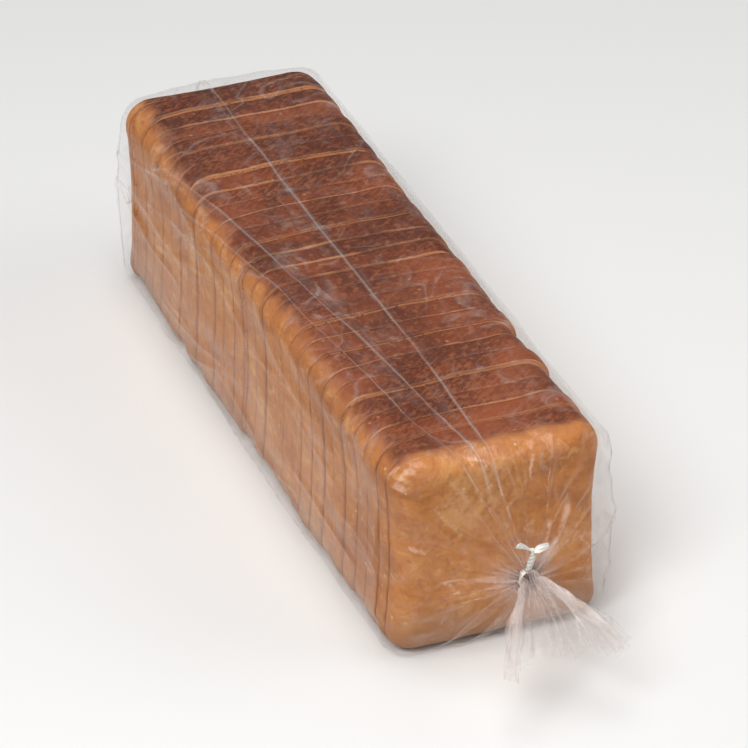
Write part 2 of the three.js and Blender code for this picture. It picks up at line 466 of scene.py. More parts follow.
def lid_colour(graph, loaf, marks, place, tone):
    """The lid face: blotches of two browns, fine slanting grain, and pale specks."""
    bake = graph.span(graph.noise(place, 24.0, 5.0, 0.58, 0.3), 0.34, 0.68)
    light = graph.total((graph.less(marks.fine, 0.5), 1.2), (tone, 0.3), base=bake, clamp=True)
    lid = graph.mix(light, loaf.lid_dark, loaf.lid_light)
    lid = graph.mix(graph.times(marks.fleck, 0.5), lid, LID_FLECK)
    grained = graph.span(graph.noise(place, 13.0, 2.0), 0.38, 0.62, 0.25, 0.8)
    lid = graph.mix(graph.times(graph.span(marks.grain, 0.46, 0.64), grained), lid, LID_GRAIN)
    lid = graph.mix(graph.times(marks.specks, 0.6), lid, LID_SPECK)
    return graph.mix(graph.span(tone, 0.0, -2.0, 0.0, 0.5), lid, LID_FAR_SHADE, "MULTIPLY")


def wall_colour(graph, loaf, marks, depth, tone):
    """The walls, from the golden edge down to the browner base, blotched where they met the tin."""
    pale = graph.span(tone, -1.5, 1.5, -0.1, 0.45)
    pale = graph.total((marks.patch, 0.4), (marks.fine, 0.4), base=pale, clamp=True)
    wall = graph.mix(pale, loaf.gold, loaf.side)
    wall = graph.mix(graph.span(depth, 6.0, 26.0, 0.0, 0.75), loaf.gold, wall)
    # Each kind of mark: its noise, where it starts and is full, its strength and its colour.
    for source, start, full, strength, colour in (
        (marks.toast, 0.5, 0.64, 0.65, WALL_SCORCH),
        (marks.toast, 0.47, 0.35, 0.7, WALL_PALE),
        (marks.scuffs, 0.54, 0.66, 0.45, WALL_SCUFF),
        (marks.scuffs, 0.45, 0.34, 0.4, WALL_RUB),
    ):
        wall = graph.mix(graph.span(source, start, full, 0.0, strength), wall, colour)
    wall = graph.mix(graph.times(marks.fleck, 0.35), wall, WALL_FLECK)
    wall = graph.mix(graph.times(marks.specks, 0.7), wall, WALL_SPECK)
    return graph.mix(graph.span(depth, 84.0, 112.0), wall, loaf.base)


def crust_material(loaf):
    """Baked crust: dark where the lid pressed it, golden along the edges, pale tan on the walls."""
    material, graph, shader = new_material("baked_crust")
    place, tone, bold = graph.place(), graph.value("tone"), graph.value("bold")
    marks = CrustMarks(graph, place)
    depth = graph.jitter(graph.value("below_lid"), marks.blotch, 5.0)
    depth = graph.jitter(depth, marks.patch, 6.0)
    depth = graph.total((tone, 1.6), base=depth)
    on_side = graph.span(depth, 0.0, 12.0)
    wall = wall_colour(graph, loaf, marks, depth, tone)
    edge = graph.mix(graph.span(depth, 0.0, 9.0), TOP_EDGE, wall)
    lid = lid_colour(graph, loaf, marks, place, tone)
    colour = graph.mix(graph.span(depth, -5.0, 4.0), lid, edge)

    # The pale line of torn crust at each cut, bold at some and faint at others, then painted shade beside
    # the bold cuts, and painted shade in the gaps between slices on the walls.
    frayed = graph.jitter(graph.value("cut"), graph.noise(place, 230.0, 2.0), 1.3)
    patchy = graph.span(graph.noise(place, 24.0, 2.0), 0.36, 0.56, 0.2, 1.0)
    line = graph.times(graph.span(frayed, 0.45, 1.25, 1.0, 0.0), graph.times(patchy, bold))
    line = graph.times(line, graph.span(depth, 8.0, 30.0, 1.0, 0.4))
    colour = graph.mix(line, colour, CUT_LINE)
    shade = graph.times(graph.span(frayed, 0.9, 3.0, 0.4, 0.0), bold)
    colour = graph.mix(shade, colour, CUT_SHADE, "MULTIPLY")
    # Painted shade in the gaps between the slices, on the walls only.
    seam = graph.times(graph.span(frayed, 0.1, 1.0, 0.6, 0.0), on_side)
    colour = graph.mix(seam, colour, CUT_GAP_SHADE)

    relief = graph.times(graph.total((marks.pits, 0.3), base=marks.scuffs), on_side)
    finer = (marks.patch, 0.6), (marks.fine, 0.4), (marks.grain, 0.3), (line, -0.2)
    relief = graph.total(*finer, base=relief)
    rough = graph.span(depth, -4.0, 12.0, 0.5, 0.74)
    graph.fill(shader, {"Base Color": colour, "Roughness": rough, "Specular IOR Level": 0.35})
    graph.feed(shader.inputs["Normal"], graph.bump(relief, 0.6, 0.75))
    return material


CRUMB_PORE_SHADE = (0.60, 0.43, 0.25, 1.0)
CRUMB_SOFT = (0.86, 0.74, 0.54, 1.0)
CRUMB_RIM = (0.57, 0.235, 0.085, 1.0)


def crumb_material(loaf):
    """Open cream crumb on the cut faces, with painted shade in its pores."""
    material, graph, shader = new_material("cut_crumb")
    place = graph.place()
    soft = use_group(graph, "mottle", Place=place, Scale=60.0, Contrast=1.4)
    pits = use_group(graph, "pores", Place=place, Scale=420.0, Share=0.2).outputs["Pits"]
    # Painted shade: the crumb turns darker in the hollows of its pores.
    colour = graph.mix(pits, CRUMB_PORE_SHADE, loaf.crumb)
    colour = graph.mix(graph.times(soft, 0.35), colour, CRUMB_SOFT)
    colour = graph.mix(graph.span(graph.value("rim"), 0.6, 6.0), CRUMB_RIM, colour)
    graph.fill(shader, {"Base Color": colour, "Roughness": 0.9, "Normal": graph.bump(pits, 0.7, 0.8)})
    return material


# ---------------------------------------------------------------- bread shapes

OUTLINE_POINTS = 184
TOP_CORNER, BASE_CORNER = 13.0, 9.0
SIDE_WAIST, LID_SAG = 2.2, 0.8
CUT_STEPS = (0.0, 0.025, 0.07, 0.16, 0.33, 0.5, 0.67, 0.84, 0.93, 0.975, 1.0)
CUT_BEVEL = (0.8, 0.32, 0.08, 0.0, 0.0, 0.0, 0.0, 0.0, 0.08, 0.32, 0.8)
CAP_INSETS = (1.6, 5.0, 12.0, 24.0, 40.0)
HEEL_INSETS = (3, 8, 14, 21, 28, 34, 38)
CUT_GAP = 0.12
HEEL_ROUND, HEEL_DISH = 11.0, 0.9
SLICE_PILLOW = 0.45
BOLD_CUTS = (3, 5, 7, 9, 11, 13, 14, 15, 18, 20, 21, 24, 25, 26, 27)
# The flat face that the lid pressed: its middle and half width, how much its left edge draws in towards
# the far end and over what length, its margins at the two ends, and how far the crust drops beside it.
LID_MIDDLE, LID_HALF = 1.5, 51.0
LID_TAPER, LID_TAPER_LENGTH = 9.0, 90.0
LID_NEAR_MARGIN, LID_FAR_MARGIN, LID_DROP = 13.0, 6.0, 3.0


def arc(centre, radius, start, end, count=10):
    turn = np.radians(np.linspace(start, end, count))
    return np.stack([centre[0] + radius * np.cos(turn), centre[1] + radius * np.sin(turn)], 1)


def bend(first, middle, last, count=14):
    share = np.linspace(0.0, 1.0, count)[:, None]
    first, middle, last = map(np.array, (first, middle, last))
    return (1 - share) ** 2 * first + 2 * share * (1 - share) * middle + share**2 * last


def bread_outline(width, height):
    """A slice's outline from the middle of its base, anticlockwise seen from the neck end."""
    half, waist = width / 2, 2 * SIDE_WAIST
    top, base = TOP_CORNER, BASE_CORNER
    return evenly(
        np.concatenate([
            np.array([[0.0, 0.0]]),
            arc((half - base, base), base, -90, 0),
            bend((half, base), (half - waist, height / 2), (half, height - top)),
            arc((half - top, height - top), top, 0, 90),
            bend((half - top, height), (0.0, height - 2 * LID_SAG), (-half + top, height)),
            arc((-half + top, height - top), top, 90, 180),
            bend((-half, height - top), (-half + waist, height / 2), (-half, base)),
            arc((-half + base, base), base, 180, 270),
        ]),
        OUTLINE_POINTS,
    )


class SlicePlan:
    """The small differences that set each slice and each cut apart."""

    def __init__(self, loaf):
        rng = np.random.default_rng(loaf.seed)
        slices, cuts = np.arange(SLICE_COUNT), np.arange(SLICE_COUNT + 1)
        self.width = LOAF_WIDTH + rng.uniform(-2.4, 0.6, len(slices))
        self.height = LOAF_HEIGHT + rng.uniform(-1.3, 0.4, len(slices))
        self.shift = rng.uniform(-0.6, 0.6, len(slices)) + 0.6 * np.sin(slices * 0.55 + 1.0)
        self.tone = rng.uniform(-0.6, 0.6, len(slices)) + 0.4 - 2.0 * slices / SLICE_COUNT
        self.bow = loaf.bow / MM * rng.uniform(0.6, 1.15, len(cuts))
        self.skew = rng.uniform(-1.3, 1.3, len(cuts))
        self.wave = rng.uniform(0.0, 20.0, len(cuts))
        bold, faint = rng.uniform(0.8, 1.0, len(cuts)), rng.uniform(0.08, 0.4, len(cuts))
        self.line = np.where(np.isin(cuts, BOLD_CUTS), bold, faint)

    def cut(self, number, x, z):
        """Where a cut lies along Y at each (x, z): flat at the two ends of the loaf, wavy inside it."""
        flat = np.full_like(x, LOAF_START + number * SLICE_PITCH)
        if number in (0, SLICE_COUNT):
            return flat
        side, up = x / (LOAF_WIDTH / 2), (z - LOAF_BASE) / LOAF_HEIGHT
        wave = self.wave[number]
        wobble = 0.6 * np.sin(x / 12.0 + wave) + 0.3 * np.sin(x / 5.1 + 2 * wave)
        return flat + self.bow[number] * (0.6 - side**2) * up + self.skew[number] * side + wobble * up


def crust_relief(points, relief):
    """How far the crust stands out at each point, in millimetres: less where the lid pressed it flat."""
    broad = lumps(points, 34.0, 1)
    small = lumps(points, 9.0, 2)
    pressed = smoothstep(LOAF_HEIGHT - 14.0, LOAF_HEIGHT - 2.0, points[:, 2] - LOAF_BASE)
    return relief / MM * (broad + 0.5 * small) * (1 - 0.6 * pressed)


def ring_in_space(plan, number, inset_x, inset_z):
    """A slice's outline in place, drawn in by the insets, as x and z."""
    outline = bread_outline(plan.width[number], plan.height[number])
    middle = plan.height[number] / 2
    x = plan.shift[number] + outline[:, 0] * (1 - 2 * inset_x / LOAF_WIDTH)
    z = LOAF_BASE + middle + (outline[:, 1] - middle) * (1 - 2 * inset_z / LOAF_HEIGHT)
    return x, z


def push_out(ring, amount):
    """Moves a ring's points away from its middle, but never below the base."""
    middle = ring.mean(0)
    away = ring - middle
    away[:, 1] = 0.0
    # A square section's outward direction is mostly that of its nearer face.
    away = np.sign(away) * np.abs(away) ** 5
    away /= np.maximum(np.linalg.norm(away, axis=1, keepdims=True), 1e-6)
    moved = ring + away * np.asarray(amount)[:, None]
    moved[:, 2] = np.maximum(moved[:, 2], LOAF_BASE - 0.3)
    return moved


def crust_rings(plan, number, relief):
    """The crust's rings for one slice, each one's distance to the nearer cut, and how bold that cut is."""
    rings, cuts, bold = [], [], []
    for share, bevel in zip(CUT_STEPS, CUT_BEVEL):
        x, z = ring_in_space(plan, number, bevel, bevel)
        near = plan.cut(number, x, z) + CUT_GAP / 2
        far = plan.cut(number + 1, x, z) - CUT_GAP / 2
        ring = stack_points(x, near + (far - near) * share, z)
        pillow = SLICE_PILLOW * math.sin(math.pi * share) ** 0.7
        rings.append(push_out(ring, crust_relief(ring, relief) + pillow))
        cuts.append(min(share, 1 - share) * SLICE_PITCH)
        bold.append(plan.line[number if share < 0.5 else number + 1])
    return rings, cuts, bold


def heel_rings(plan, number, relief, outward):
    """A heel's crust, from its cut, round its outer edge, to near the middle of its end face."""
    inner, outer = (number + 1, number) if outward < 0 else (number, number + 1)
    end = LOAF_START + outer * SLICE_PITCH
    rings, cuts = [], []
    for share, bevel in zip(CUT_STEPS[:5], CUT_BEVEL[:5]):
        x, z = ring_in_space(plan, number, bevel, bevel)
        start = plan.cut(inner, x, z) + outward * CUT_GAP / 2
        stop = end - outward * HEEL_ROUND
        ring = stack_points(x, start + (stop - start) * share * 3, z)
        rings.append(push_out(ring, crust_relief(ring, relief)))
        cuts.append(share * SLICE_PITCH)
    for turn in np.radians(np.linspace(12, 90, 8)):
        inset = HEEL_ROUND * (1 - math.cos(turn))
        x, z = ring_in_space(plan, number, inset * 1.35, inset * 0.85)
        ring = stack_points(x, end - outward * HEEL_ROUND * (1 - math.sin(turn)), z)
        rings.append(push_out(ring, crust_relief(ring, relief)))
    for further in HEEL_INSETS:
        inset = HEEL_ROUND + further
        x, z = ring_in_space(plan, number, inset + 0.35 * HEEL_ROUND, inset * 0.985)
        ring = stack_points(x, end, z)
        rough = 0.9 * relief / MM * lumps(ring, 16.0, 4) + 0.3 * lumps(ring, 6.0, 5)
        ring[:, 1] -= outward * (HEEL_DISH * further / 40 + 0.6 - rough)
        rings.append(ring)
    cuts += [SLICE_PITCH] * (len(rings) - len(cuts))
    return rings, cuts, [plan.line[inner]] * len(rings)


def cap_rings(rim, inward):
    """Crumb rings that close a cut face inwards from its rim."""
    middle = rim.mean(0)
    rings = []
    for inset in CAP_INSETS:
        ring = middle + (rim - middle) * (1 - inset / (LOAF_WIDTH / 2))
        ring[:, 1] += inward * (0.15 + 0.1 * lumps(ring, 5.0, 3))
        rings.append(ring)
    return rings


def below_lid(points):
    """Millimetres down the crust from the flat lid face: negative on the face itself."""
    x, y, z = points.T
    taper = LID_TAPER * smoothstep(LOAF_END - LID_TAPER_LENGTH, LOAF_END, y) * (x < 0)
    beside = np.abs(x - LID_MIDDLE) - LID_HALF + taper
    beyond = np.maximum(LOAF_START + LID_NEAR_MARGIN - y, y - LOAF_END + LID_FAR_MARGIN)
    down = LOAF_BASE + LOAF_HEIGHT - z
    over = np.hypot(np.maximum(beside, 0.0), np.maximum(beyond, 0.0))
    inside = np.minimum(np.maximum(beside, beyond), 0.0)
    return over + inside + np.maximum(down - LID_DROP, 0.0)


def build_slice(number, plan, loaf, materials):
    """One slice, or a heel where the number is the first or the last."""
    outward = {0: -1, SLICE_COUNT - 1: 1}.get(number, 0)
    if outward:
        crust, cuts, bold = heel_rings(plan, number, loaf.relief, outward)
        last_cap = []
    else:
        crust, cuts, bold = crust_rings(plan, number, loaf.relief)
        last_cap = cap_rings(crust[-1], -1)
    first_cap = cap_rings(crust[0], -outward or 1)[::-1]
    rings = first_cap + crust + last_cap
    before, after, count = len(first_cap), len(last_cap), OUTLINE_POINTS
    faces = ring_faces(len(rings), count)
    start, last = len(rings) * count, (len(rings) - 1) * count
    faces += [(start, k, (k + 1) % count) for k in range(count)]
    faces += [(start + 1, last + (k + 1) % count, last + k) for k in range(count)]
    if outward < 0:
        faces = [face[::-1] for face in faces]
    points = np.concatenate([*rings, [rings[0].mean(0), rings[-1].mean(0)]])
    piece = make_object(f"bread_{SLICE_NAMES[number]}", points, faces, math.radians(50))
    mesh = piece.data

    def per_point(values, first_tip, last_tip):
        return np.concatenate([np.repeat(values, count), [first_tip, last_tip]])

    half = LOAF_WIDTH / 2
    cuts = [0.0] * before + cuts + [0.0] * after
    rims = [*CAP_INSETS[::-1], *[0.0] * len(crust), *CAP_INSETS[:after]]
    bolds = [bold[0]] * before + bold + [bold[-1]] * after
    add_values(mesh, "below_lid", below_lid(points))
    add_values(mesh, "cut", per_point(cuts, 0.0, SLICE_PITCH if outward else 0.0))
    add_values(mesh, "rim", per_point(rims, half, half))
    add_values(mesh, "bold", per_point(bolds, bold[0], bold[-1]))
    add_values(mesh, "tone", np.full(len(points), plan.tone[number]))
    for material in materials:
        mesh.materials.append(material)
    last_crust = before + len(crust) - 1
    is_crumb = [row < before or row >= last_crust for row in range(len(rings) - 1)]
    is_crumb += [True, not outward]
    mesh.polygons.foreach_set("material_index", np.repeat(is_crumb, count).astype(np.int32))
    place_in_frame(piece, SLICE_NAMES[number])


# ---------------------------------------------------------------- film bag

GUIDE_POINTS = 400
FILM_FLOOR = 0.2
FILM_TOP = LOAF_BASE + LOAF_HEIGHT + 1.2
FILM_HALF = LOAF_WIDTH / 2 + 2.8
FILM_CORNER = 14.0
SEAM_Z, DOME_DEPTH = 44.0, 15.0
LAYER = 0.45
BODY_ROWS, DOME_ROWS, FUNNEL_ROWS, NECK_ROWS, TAIL_ROWS = 168, 22, 44, 6, 40
LEG_COLUMNS, FOLD_COLUMNS = (176, 16, 12, 146), 4
FUNNEL_START = DOME_ROWS + BODY_ROWS
NECK_START = FUNNEL_START + FUNNEL_ROWS
TAIL_START = NECK_START + NECK_ROWS
# Turns round the neck, from its lowest point up the right side.
NECK_TURNS = 2 * math.pi * np.arange(GUIDE_POINTS) / GUIDE_POINTS - math.pi / 2
FILM_INDEX, FILM_SHINE = 1.46, 0.58
FILM_MIRROR = (0.97, 0.97, 0.97, 1.0)

# The open end past the neck: its lean in degrees and its sizes, then the waves of its edge, as
# (size, waves round the edge, shift).
NECK_LENGTH, TAIL_LEAN = 4.5, 58
TAIL_LENGTH, TAIL_DROP, TAIL_FLARE, TAIL_THICKNESS, TAIL_DROOP = 33.0, 17.0, 27.0, 7.0, 4.0
TAIL_WAVES = ((2.2, 3.0, 0.6), (1.4, 7.0, 0.0), (0.8, 17.0, 0.0))
RUFFLES, FRILLS, RUFFLE_HEIGHT, FRILL_HEIGHT = 13, 41, 8.2, 1.9
# The sealed end: the rows of its flat seam, how far its corners draw in, and its pleats.
SEAM_TABS, SEAM_SQUEEZE, DOME_CORNER, DOME_PLEATS = (7.0, 4.5, 2.0), 0.86, 17.0, 17
# How far the film stands off each side, as (place along the bread, share of the slack).
RIGHT_SLACK = ((0, 0.25), (40, 0.72), (115, 1.0), (295, 0.7), (365, 0.36), (392, 0.18))
LEFT_SLACK = ((0, 0.35), (60, 0.8), (150, 1.0), (250, 0.9), (350, 0.6), (392, 0.3))
# Narrow folds of slack film lie flat on the top. Each runs along a line of (place along, x), where x past
# the edge of the top counts on down the side, and has a width of (place along, width).
FOLDS = (
    (
        ((0, -8), (26, -5), (58, -5), (97, -3), (152, -7), (262, -8), (294, -7), (353, -12), (392, -8)),
        ((0, 1.2), (40, 2.6), (180, 4.0), (392, 2.4)),
    ),
    (
        ((0, -13), (21, -13), (47, -22), (97, -24), (149, -29), (193, -36), (250, -47), (300, -58),
         (392, -84)),
        ((0, 1.2), (40, 3.0), (150, 4.6), (250, 3.2), (392, 1.8)),
    ),
    (
        ((0, -22), (39, -33), (81, -35), (136, -38), (173, -47), (230, -62), (392, -98)),
        ((0, 1.0), (60, 1.8), (392, 1.4)),
    ),
)


def along_bread(y, knots):
    """A value that changes along the bread, read through (place, value) knots from its near end."""
    places, values = zip(*knots)
    return np.interp(y - LOAF_START, places, values)


def hanging_side(slack, knots, y, seed):
    """One side of the film, from the floor up to the edge of the flat top, as (x, z)."""
    share = np.linspace(0.0, 1.0, 90, endpoint=False)
    swell = 0.86 + 0.14 * math.sin(y / 41.0 + seed * 2.0) + 0.08 * math.sin(y / 17.0 + seed)
    bulge = slack / MM * along_bread(y, knots) * swell * np.sin(math.pi * share**1.35) ** 1.2
    foot = 9.0 * np.clip(1 - share / 0.1, 0.0, 1.0) ** 2
    top = FILM_TOP - FILM_CORNER
    wall = np.stack([FILM_HALF + bulge - foot, FILM_FLOOR + share * (top - FILM_FLOOR)], 1)
    return np.concatenate([wall, arc((FILM_HALF - FILM_CORNER, top), FILM_CORNER, 0, 90, 16)])


def body_rows(film):
    """The film round the bread, each row from the middle of the base up the right side."""
    rows = []
    for y in np.linspace(LOAF_END - 10.0, LOAF_START + 7.0, BODY_ROWS):
        right = hanging_side(film.right_slack, RIGHT_SLACK, y, 1)
        left = hanging_side(film.left_slack, LEFT_SLACK, y, 2)[::-1] * [-1.0, 1.0]
        x, z = evenly(np.concatenate([[[0.0, FILM_FLOOR]], right, left]), GUIDE_POINTS).T
        rows.append(stack_points(x, y, z))
    return rows


def dome_rows(first_row):
    """The closed end: a flat seam, then the film swelling out to the size of the bread."""
    rows = []
    x0, y0, z0 = first_row.T
    above = z0 - SEAM_Z
    tip = LOAF_END + DOME_DEPTH - DOME_CORNER * np.abs(x0 / FILM_HALF) ** 2.4
    for tab in SEAM_TABS:
        z = SEAM_Z - 0.55 * tab + 0.15 * np.sign(above)
        rows.append(stack_points(x0 * SEAM_SQUEEZE, tip + tab, z))
    for turn in np.radians(np.linspace(87, 3, DOME_ROWS - len(SEAM_TABS))):
        flat, out = math.cos(turn), math.sin(turn)
        x = x0 * (1 - (1 - SEAM_SQUEEZE) * (1 - flat) ** 1.3)
        rows.append(stack_points(x, y0 + (tip - y0) * out**0.9, SEAM_Z + above * flat**0.42))
    return rows


def neck_ring(y):
    """The film where it is drawn in tight at the neck."""
    x, z = NECK_RADIUS * np.cos(NECK_TURNS), NECK_Z + NECK_RADIUS * np.sin(NECK_TURNS)
    return stack_points(x, y, z)


def funnel_rows(last_row):
    """The near end: the film draws in from the edge of the bread to the neck."""
    ring = neck_ring(NECK_Y + 1.5)
    corner = last_row - [0.0, 15.0, 0.0]
    corner[:, 0] *= 0.985
    corner[:, 2] = NECK_Z + (corner[:, 2] - NECK_Z) * 0.985
    steps = np.linspace(0.0, 1.0, FUNNEL_ROWS + 1)[1:]
    return [(1 - s) ** 2 * last_row + 2 * s * (1 - s) * corner + s**2 * ring for s in steps]


def neck_and_tail_rows():
    """The tied neck, then the open end of the bag flaring and drooping past it."""
    across, up = np.cos(NECK_TURNS), np.sin(NECK_TURNS)
    rows = [neck_ring(y) for y in np.linspace(NECK_Y + 1.0, NECK_Y - NECK_LENGTH, NECK_ROWS)]
    start = np.array([0.0, NECK_Y - NECK_LENGTH, NECK_Z])
    edge = sum(size * np.sin(waves * NECK_TURNS + shift) for size, waves, shift in TAIL_WAVES)
    for step in np.linspace(0.0, 1.0, TAIL_ROWS + 1)[1:]:
        lean = math.radians(TAIL_LEAN) * step**0.8
        middle = start + [2.0 * step, -TAIL_LENGTH * step**0.95, -TAIL_DROP * step**1.7]
        wide = NECK_RADIUS + TAIL_FLARE * step**0.85
        thick = NECK_RADIUS + TAIL_THICKNESS * step**0.9
        droop = TAIL_DROOP * step * across**2
        x = middle[0] + wide * across
        y = middle[1] + step**2 * edge - thick * up * math.sin(lean) - droop
        z = middle[2] + thick * up * math.cos(lean) - 1.5 * droop
        rows.append(stack_points(x, y, z))
    return rows


def grid_normals(rows):
    """Outward normals of a grid of rows that close on themselves."""
    around = np.roll(rows, -1, axis=1) - np.roll(rows, 1, axis=1)
    along = np.gradient(rows, axis=0)
    normal = np.cross(around, along)
    return normal / np.maximum(np.linalg.norm(normal, axis=2, keepdims=True), 1e-9)


def uneven_pleats(rng, count):
    """A closed zigzag of uneven pleats, as a function of the share of the way round."""
    places = (np.arange(2 * count) + rng.uniform(-0.38, 0.38, 2 * count)) / (2 * count)
    heights = np.where(np.arange(2 * count) % 2, 1.0, -1.0) * rng.uniform(0.6, 1.0, 2 * count)
    return lambda share: np.interp(share % 1.0, places, heights, period=1.0)


def crest(distance, width):
    """A fold's height beside its crest line, sharp on the line and gone at its width."""
    return np.clip(1.0 - np.abs(distance) / width, 0.0, None) ** 2


def side_creases(rng, count, reach, y, low, high):
    """Long creases between two places round the film, in millimetres of height."""
    total = np.zeros_like(reach)
    for _ in range(count):
        start, length = rng.uniform(0.0, LOAF_LENGTH - 60.0), rng.uniform(50.0, 190.0)
        middle, slope, bow = rng.uniform(low, high), rng.normal(0.0, 0.16), rng.normal(0.0, 5.0)
        height, width = rng.uniform(0.6, 2.8), rng.uniform(3.0, 9.0)
        share = (y - LOAF_START - start) / length
        line = middle + slope * (share - 0.5) * length + bow * np.sin(math.pi * share)
        fade = np.sqrt(np.clip(np.sin(math.pi * np.clip(share, 0.0, 1.0)), 0.0, 1.0))
        total = np.maximum(total, height * fade * crest(reach - line, width))
    return total


def wrinkle_heights(guide, film):
    """How far the film is lifted off its smooth guide, and how bunched up it is, at each point."""
    rng = np.random.default_rng(film.seed)
    share = np.broadcast_to(np.arange(GUIDE_POINTS) / GUIDE_POINTS, guide.shape[:2])
    x, y, z = np.moveaxis(guide, 2, 0)
    reach = np.cumsum(np.linalg.norm(np.roll(guide, -1, axis=1) - guide, axis=2), axis=1)
    length = reach[:, -1:]
    from_axis = np.hypot(x, z - NECK_Z)
    row = np.arange(len(guide))[:, None] * np.ones_like(share)
    tail = np.clip((row - TAIL_START) / TAIL_ROWS, 0.0, 1.0)
    in_dome = row < DOME_ROWS
    in_body = (row >= DOME_ROWS) & (row < FUNNEL_START)
    in_funnel = (row >= FUNNEL_START) & (row < NECK_START)
    in_neck = (row >= NECK_START) & (row < TAIL_START)
    in_tail = tail > 0

    # Pleats gathered into the neck, which run on along the bread and open out in the tail.
    drift = 0.012 * lumps(guide, 24.0, 8) * smoothstep(NECK_RADIUS, 40.0, from_axis)
    fine = uneven_pleats(rng, film.pleats)(share + drift)
    wide = uneven_pleats(rng, film.pleats // 2)(share + drift)
    ruffle = uneven_pleats(rng, RUFFLES)(share + 0.01 * np.sin(6.0 * tail))
    frill = uneven_pleats(rng, FRILLS)(share - 0.006 * np.sin(9.0 * tail))
    height = film.pleat_height / MM
    near_neck = np.interp(from_axis, (3.0, 8.0, 14.0, 30.0, 58.0), (0.75, 0.9, 1.1, 0.6, 0.15))
    broad = np.interp(from_axis, (3.0, 14.0, 30.0, 46.0, 62.0), (0.0, 0.35, 1.0, 0.8, 0.3))
    run_back = np.exp(-np.clip(y - LOAF_START, 0.0, None) / 26.0) * smoothstep(2.0, 8.0, z)
    amount = in_funnel * height * (near_neck * fine + broad * wide)
    amount += in_body * run_back * height * (0.22 * np.maximum(fine, 0.0) + 0.55 * np.maximum(wide, 0.0))
    amount += (in_neck + in_tail * (1 - tail) ** 2) * height * 0.75 * fine
    amount += in_tail * (RUFFLE_HEIGHT * tail**0.8 * ruffle + FRILL_HEIGHT * tail * frill)

    # Long creases and soft waves along the bread: deep on the sides, slight on the flat top.
    off_floor = smoothstep(1.5, 12.0, z)
    side = (58.0, LOAF_WIDTH / 2 + LOAF_HEIGHT - 4.0)
    creased = side_creases(rng, film.creases, reach, y, *side)
    creased = np.maximum(creased, side_creases(rng, film.creases, length - reach, y, *side))
    over_top = side_creases(rng, film.creases, reach - length / 2, y, -52.0, 52.0)
    soft = lumps(guide * [1.0, 0.45, 1.0], 17.0, 7)
    end_fade = 1 - smoothstep(LOAF_END - 30.0, LOAF_END, y) * 0.6
    on_side = 1 - smoothstep(FILM_TOP - 10.0, FILM_TOP - 1.0, z)
    amount += in_body * off_floor * end_fade * (creased + on_side * (0.9 + 1.1 * soft))
    amount += in_body * (1 - on_side) * (0.22 * over_top + 0.12 * (1 + soft))

    # The closed end's tucked corners and pleats, which run on a little way over the bread.
    corners = np.abs(np.abs(share - 0.5) - 0.25)
    tuck = crest(corners - 0.012, 0.03) + 0.7 * crest(corners - 0.07, 0.025)
    out = np.clip((DOME_ROWS - row) / DOME_ROWS, 0.0, 1.0)
    pleat = np.maximum(uneven_pleats(rng, DOME_PLEATS)(share), 0.0)
    amount += (in_dome & (row >= len(SEAM_TABS))) * np.sin(math.pi * out) * (1.6 * tuck + 0.9 * pleat)
    amount += in_body * off_floor * np.exp(-np.clip(LOAF_END - y, 0.0, None) / 18.0) * 0.6 * pleat

    near = np.where(in_neck, 1.0, 1 - smoothstep(NECK_RADIUS, 26.0, from_axis))
    bunched = np.maximum(near * (in_funnel | in_neck), in_tail * (1 - 0.75 * tail))
    return amount, np.maximum(bunched, in_dome * (0.35 + 0.4 * smoothstep(0.4, 1.0, out)))


def film_layers(y_row, length):
    """For each column of a row: its share of the way round, its height in layers, and if it is covered."""
    y = np.clip(y_row, LOAF_START, LOAF_END)
    turn = np.radians((-45, 0, 45))
    tip = 0.5 * LAYER * np.stack([np.cos(turn), np.sin(turn)], 1)
    places, lifts, covered = [], [], []

    def lay(place, lift, hidden):
        places.append(place)
        lifts.append(lift + np.zeros(len(place)))
        covered.append(hidden + np.zeros(len(place)))

    def settled(leg, start, drop):
        return drop * (1 - smoothstep(start + 1.0, start + 9.0, leg))

    start, drop = 0.0, 0.0
    for (crest_line, width), count in zip(FOLDS, LEG_COLUMNS):
        line, half = length / 2 - along_bread(y, crest_line), along_bread(y, width) / 2
        leg = np.linspace(start, line + half, count, endpoint=False)
        lay(leg, settled(leg, start, drop), (leg > line - half) * 1.0)
        lay(line + half + tip[:, 0], 0.5 * LAYER + tip[:, 1], 0.5)
        lay(np.linspace(line + half, line - half, FOLD_COLUMNS), LAYER, 1.0)
        lay(line - half - tip[:, 0], 1.5 * LAYER + tip[:, 1], 0.0)
        start, drop = line - half, 2 * LAYER
    leg = np.linspace(start, length, LEG_COLUMNS[-1], endpoint=False)
    lay(leg, settled(leg, start, drop), 0.0)
    return np.concatenate(places) / length, np.concatenate(lifts), np.concatenate(covered)


def read_round(rows, share):
    """Values of a closed row at each share of the way round."""
    place = (share % 1.0) * len(rows)
    low = np.floor(place).astype(int) % len(rows)
    mix = (place - np.floor(place))[:, None]
    return rows[low] * (1 - mix) + rows[(low + 1) % len(rows)] * mix


def build_film_rows(film):
    """The film's rows of points, from its sealed end on, and how bunched and how covered each point is."""
    body = body_rows(film)
    guide = np.array(dome_rows(body[0]) + body + funnel_rows(body[-1]) + neck_and_tail_rows())
    normals = grid_normals(guide)
    amount, bunched = wrinkle_heights(guide, film)
    wrinkled = guide + normals * amount[:, :, None]
    length = np.linalg.norm(np.diff(body[0], axis=0), axis=1).sum()
    rows, gathered, hidden = [], [], []
    for surface, normal, bunch in zip(wrinkled, normals, bunched):
        share, lift, covered = film_layers(surface[:, 1].mean(), length)
        points = read_round(surface, share) + read_round(normal, share) * lift[:, None]
        points[:, 2] = np.maximum(points[:, 2], 0.1)
        rows.append(points)
        gathered.append(read_round(bunch[:, None], share)[:, 0])
        hidden.append(covered)
    return np.array(rows), np.array(gathered), np.array(hidden)


